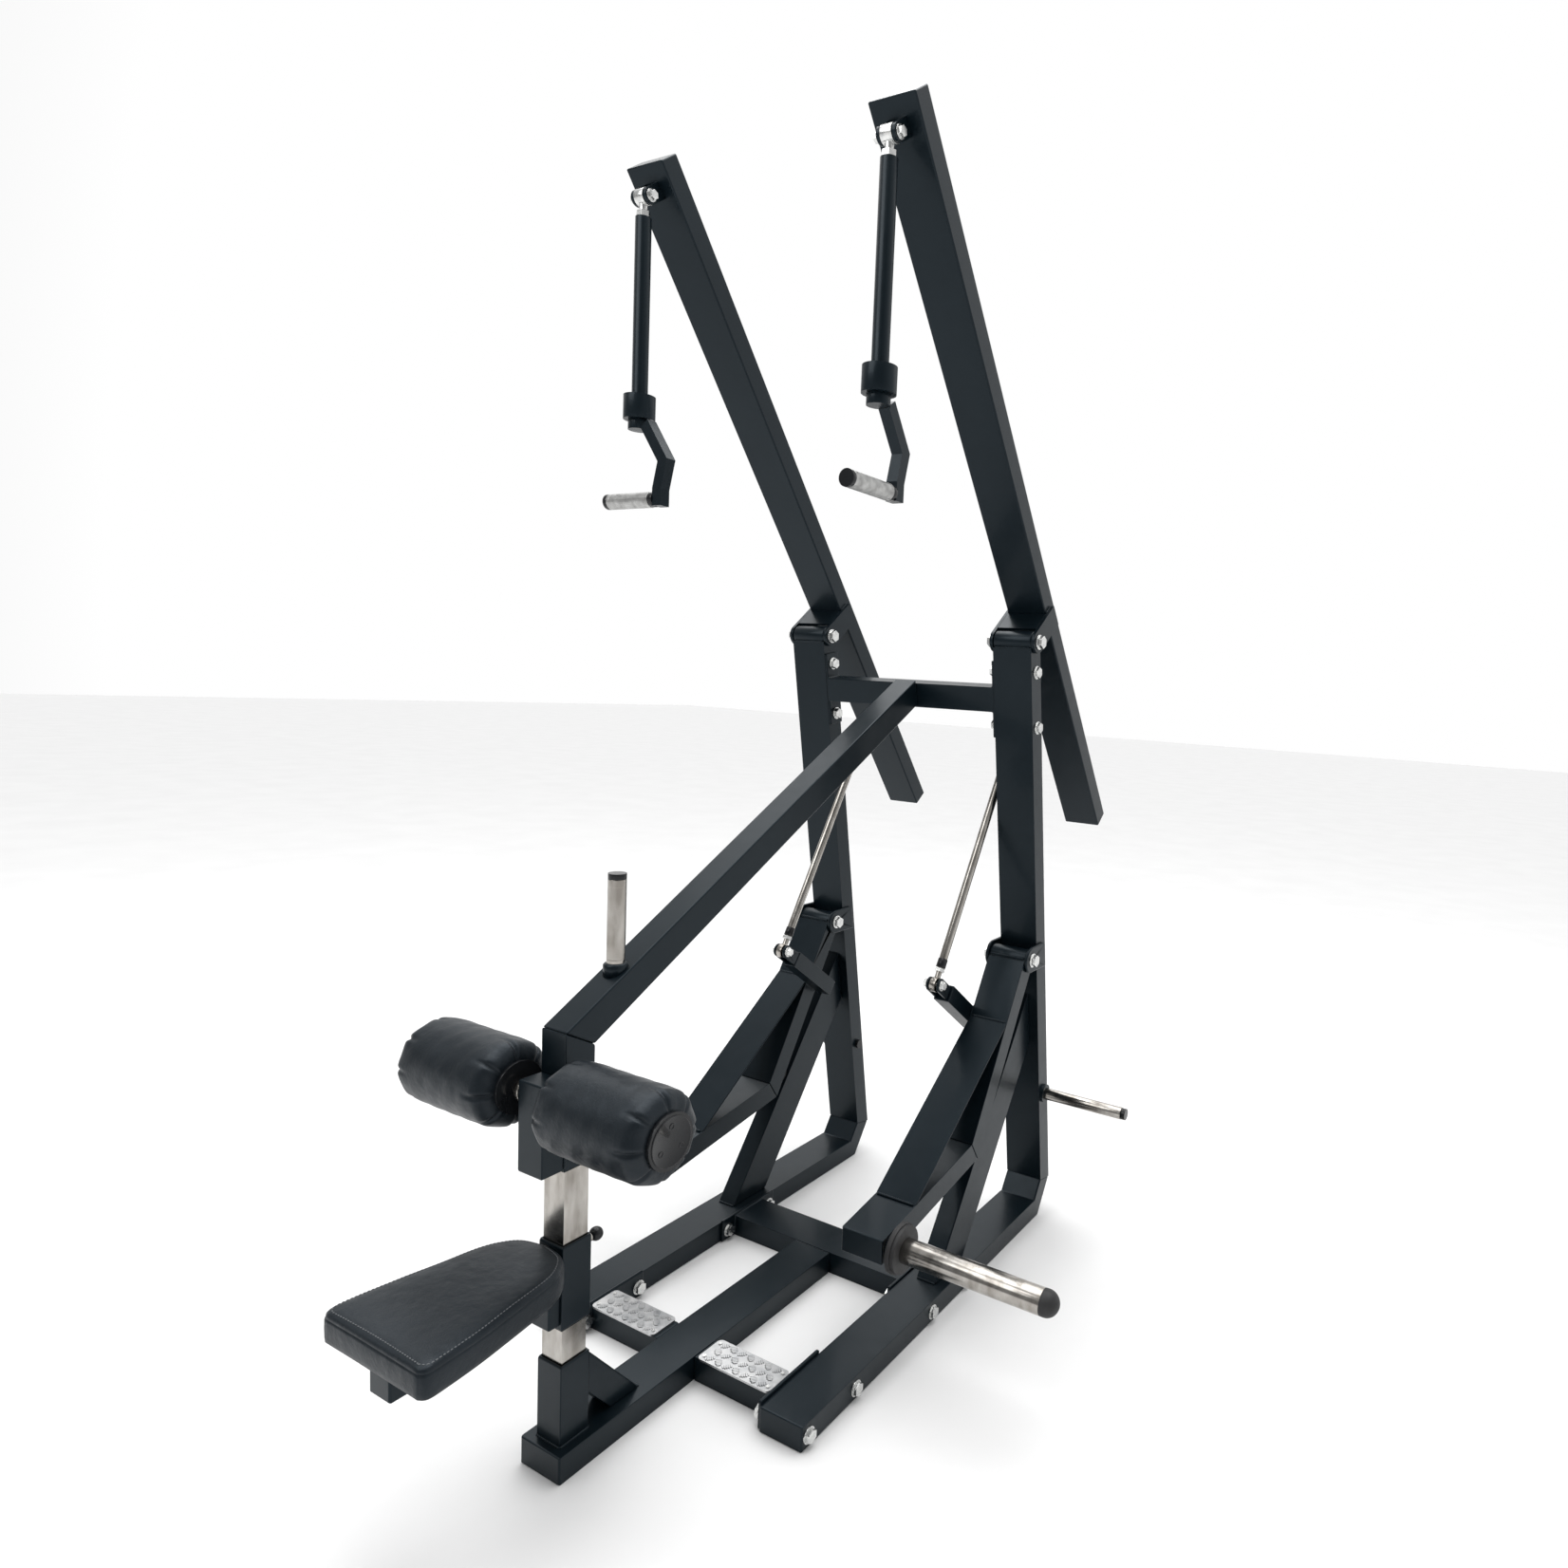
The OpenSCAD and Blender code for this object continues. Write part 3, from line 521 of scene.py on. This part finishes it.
def rod_sleeves():
    """A black sleeve and a bright lock nut near each rod's lower eye."""
    nut_at, sleeve_at = 30 * MM, 40 * MM
    for side in SIDES:
        lo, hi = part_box(side + "_connecting_rod")
        x = joint_at(side + "_rod_swing").x
        low = Vector((x, lo.y + EYE_R, lo.z + EYE_R))
        top = Vector((x, hi.y - EYE_R, hi.z - EYE_R))
        d = (top - low).normalized()
        sleeve = [(0, 10.4 * MM), (1 * MM, 11.5 * MM), (21 * MM, 11.5 * MM), (22 * MM, 10.4 * MM)]
        verts, faces = lathe(sleeve, 48, low + d * sleeve_at, d)
        add_piece(side + "_rod_sleeve", verts, faces, side + "_rod", "black_plastic")
        nut = [(0, 12 * MM), (1 * MM, 13 * MM), (8 * MM, 13 * MM), (9 * MM, 12 * MM)]
        verts, faces = lathe(nut, 6, low + d * nut_at, d)
        add_piece(side + "_rod_lock_nut", verts, faces, side + "_rod", "zinc", smooth=False)


def weld_across(name, lo_x, hi_x, y, z, body, inset=WELD_INSET):
    """A bead along x, stopping short of both edges of the tube."""
    weld_bead(name, [(lo_x + inset, y, z), (hi_x - inset, y, z)], WELD_R, body)


def lever_welds(side):
    """Beads up the clevis cheeks, and across the upright under the pivot tube."""
    lo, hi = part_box(side + "_lever")
    pivot = joint_at(side + "_lever_pull")
    down = Vector((0, math.cos(LEVER_SLOPE), -math.sin(LEVER_SLOPE)))
    back = Vector((0, math.sin(LEVER_SLOPE), math.cos(LEVER_SLOPE)))
    cheek_half, cheek_low, cheek_high = 26 * MM, 82 * MM, 110 * MM
    for tag, x in (("a", lo.x), ("b", hi.x)):
        for end, edge in (("f", -cheek_half), ("r", cheek_half)):
            ends = [pivot + down * edge + back * z for z in (cheek_low, cheek_high)]
            for point in ends:
                point.x = x
            weld_bead(f"{side}_clevis_weld_{tag}_{end}", ends, WELD_R, side + "_pull_lever")
    lean = Vector((0, -math.sin(UPRIGHT_LEAN), math.cos(UPRIGHT_LEAN)))
    over = Vector((0, math.cos(UPRIGHT_LEAN), math.sin(UPRIGHT_LEAN)))
    top_below_pivot, to_face = 12 * MM, 23.5 * MM
    for tag, shift in (("front", -to_face), ("rear", to_face)):
        at = pivot - lean * top_below_pivot + over * shift
        weld_across(f"{side}_pivot_weld_{tag}", lo.x, hi.x, at.y, at.z, "frame")


def arm_welds(side, sign):
    """Beads round the horn, along the face plate's ends, and beside the lower pivot tube."""
    body = side + "_weight_arm"
    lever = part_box(side + "_lever")
    outer_face = lever[1].x if sign > 0 else lever[0].x
    lo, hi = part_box(side + "_weight_horn")
    y, z, r = (lo.y + hi.y) / 2, (lo.z + hi.z) / 2, 19 * MM
    turns = [k * math.pi / 12 for k in range(24)]
    ring = [(outer_face, y + r * math.cos(t), z + r * math.sin(t)) for t in turns]
    weld_bead(side + "_horn_weld", ring, WELD_R, body, closed=True)
    lo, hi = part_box(side + "_arm_face_plate")
    weld_across(side + "_plate_low_weld", lo.x, hi.x, lo.y, lo.z + 2 * MM, body)
    weld_across(side + "_plate_high_weld", lo.x, hi.x, hi.y, hi.z, body)
    pivot = joint_at(side + "_arm_lift")
    for tag, turn in (("front", 165), ("rear", 315)):
        t = math.radians(turn)
        weld_across(f"{side}_lower_pivot_weld_{tag}", lo.x, hi.x, pivot.y + PIVOT_TUBE_R * math.cos(t),
                    pivot.z + PIVOT_TUBE_R * math.sin(t), body)


def brace_welds(side, sign):
    """Beads across the front and rear of a brace's foot."""
    lo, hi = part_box("braces")
    near, far = hi.x - 48 * MM, hi.x - 2 * MM
    for tag, y in (("front", lo.y), ("rear", lo.y + BRACE_FOOT_LEN)):
        line = [(sign * near, y, lo.z + 1 * MM), (sign * far, y, lo.z + 1 * MM)]
        weld_bead(f"{side}_brace_weld_{tag}", line, WELD_R, "frame")


def base_welds():
    """Beads round the front socket, beside its gusset and the knee block, and on the foot bars."""
    lo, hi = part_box("front_socket")
    half, y0, y1 = BOX_W / 2, lo.y, lo.y + BOX_W
    foot = [(-half, y0, lo.z), (half, y0, lo.z), (half, y1, lo.z), (-half, y1, lo.z)]
    weld_bead("socket_weld", foot, WELD_R, "frame", closed=True)
    top = hi.z - 4 * MM
    gusset_half = 24 * MM
    weld_across("gusset_top_weld", -gusset_half, gusset_half, y1, top, "frame", inset=0)
    weld_across("gusset_foot_weld", -gusset_half, gusset_half, hi.y, lo.z, "frame", inset=0)
    lo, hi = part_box("knee_block")
    for tag, x in (("left", lo.x), ("right", hi.x)):
        line = [(x, hi.y, lo.z + WELD_INSET), (x, hi.y, hi.z - WELD_INSET)]
        weld_bead(f"knee_block_weld_{tag}", line, WELD_R, "frame")
    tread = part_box("foot_treads")
    x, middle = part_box("foot_bar")[1].x - PLATE_T, (tread[0].y + tread[1].y) / 2
    for sign in (-1, 1):
        for tag, y in (("front", middle - BOX_W / 2), ("rear", middle + BOX_W / 2)):
            line = [(sign * x, y, 5 * MM), (sign * x, y, 48 * MM)]
            weld_bead(f"foot_weld_{'l' if sign < 0 else 'r'}_{tag}", line, WELD_R, "frame")


# ---- room, light and camera ----
def area_light(name, at, target, size, power):
    light = bpy.data.lights.new(name, "AREA")
    light.shape = "RECTANGLE"
    light.size, light.size_y = size
    light.energy = power
    obj = bpy.data.objects.new(name, light)
    obj.location = at
    obj.rotation_euler = (Vector(target) - Vector(at)).to_track_quat("-Z", "Y").to_euler()
    bpy.context.scene.collection.objects.link(obj)


def shade_world(tree):
    """A white room behind the machine that falls off to grey in front of it, for darker reflections."""
    coords = tree.nodes.new("ShaderNodeTexCoord")
    split = tree.nodes.new("ShaderNodeSeparateXYZ")
    ramp = tree.nodes.new("ShaderNodeMapRange")
    ramp.inputs["From Min"].default_value = -0.6
    ramp.inputs["From Max"].default_value = 0.35
    ramp.inputs["To Min"].default_value = 0.3
    ramp.inputs["To Max"].default_value = 1.0
    tree.links.new(coords.outputs["Generated"], split.inputs["Vector"])
    tree.links.new(split.outputs["Y"], ramp.inputs["Value"])
    tree.links.new(ramp.outputs["Result"], tree.nodes["Background"].inputs["Strength"])
    tree.nodes["Background"].inputs["Color"].default_value = (1, 1, 1, 1)


def studio():
    mesh = bpy.data.meshes.new("floor")
    half = 30
    corners = [(-half, -half, 0), (half, -half, 0), (half, half, 0), (-half, half, 0)]
    mesh.from_pydata(corners, [], [(0, 1, 2, 3)])
    mesh.materials.append(pale_floor())
    floor = bpy.data.objects.new("floor", mesh)
    bpy.context.scene.collection.objects.link(floor)
    world = bpy.data.worlds.new("studio")
    world.use_nodes = True
    shade_world(world.node_tree)
    bpy.context.scene.world = world
    area_light("key", (-1.5, -3.5, 4.5), (0, 0, 1), (3, 3), 90)
    area_light("top", (0, 0.5, 5.0), (0, 0, 0), (4, 4), 110)
    sun = bpy.data.lights.new("sun", "SUN")
    sun.energy = 1.3
    sun.angle = math.radians(60)
    sun_obj = bpy.data.objects.new("sun", sun)
    sun_obj.rotation_euler = (math.radians(-20), math.radians(-15), 0)
    bpy.context.scene.collection.objects.link(sun_obj)


def camera():
    """The view is solved for a square image of 1652 pixels a side."""
    image, focal, centre = 1652, 1055.53, (1026.54, 830.73)
    yaw, pitch, roll = (math.radians(v) for v in (28.49, -5.69, 3.20))
    ahead = Vector((-math.sin(yaw) * math.cos(pitch), math.cos(yaw) * math.cos(pitch), math.sin(pitch)))
    level = Vector((math.cos(yaw), math.sin(yaw), 0))
    above = level.cross(ahead)
    right = level * math.cos(roll) + above * math.sin(roll)
    up = above * math.cos(roll) - level * math.sin(roll)
    data = bpy.data.cameras.new("camera")
    data.sensor_width = 36
    data.lens = data.sensor_width * focal / image
    data.shift_x = (image / 2 - centre[0]) / image
    data.shift_y = (centre[1] - image / 2) / image
    data.clip_end = 200
    obj = bpy.data.objects.new("camera", data)
    turn = Matrix((right, up, -ahead)).transposed().to_4x4()
    obj.matrix_world = Matrix.Translation((1.36218, -1.71314, 1.38802)) @ turn
    bpy.context.scene.collection.objects.link(obj)
    bpy.context.scene.camera = obj


dress_cad_nodes()
for side_name, side_sign in SIDES.items():
    padded_roller(side_name)
    disc_details(side_name, side_sign)
    chequer_bars(side_name + "_tread_bars", side_sign)
seat_cushion()
hand_peg()
grips()
rod_sleeves()
for side_name, side_sign in SIDES.items():
    lever_welds(side_name)
    arm_welds(side_name, side_sign)
    brace_welds(side_name, side_sign)
base_welds()
studio()
camera()
bpy.context.scene.view_settings.view_transform = "Standard"
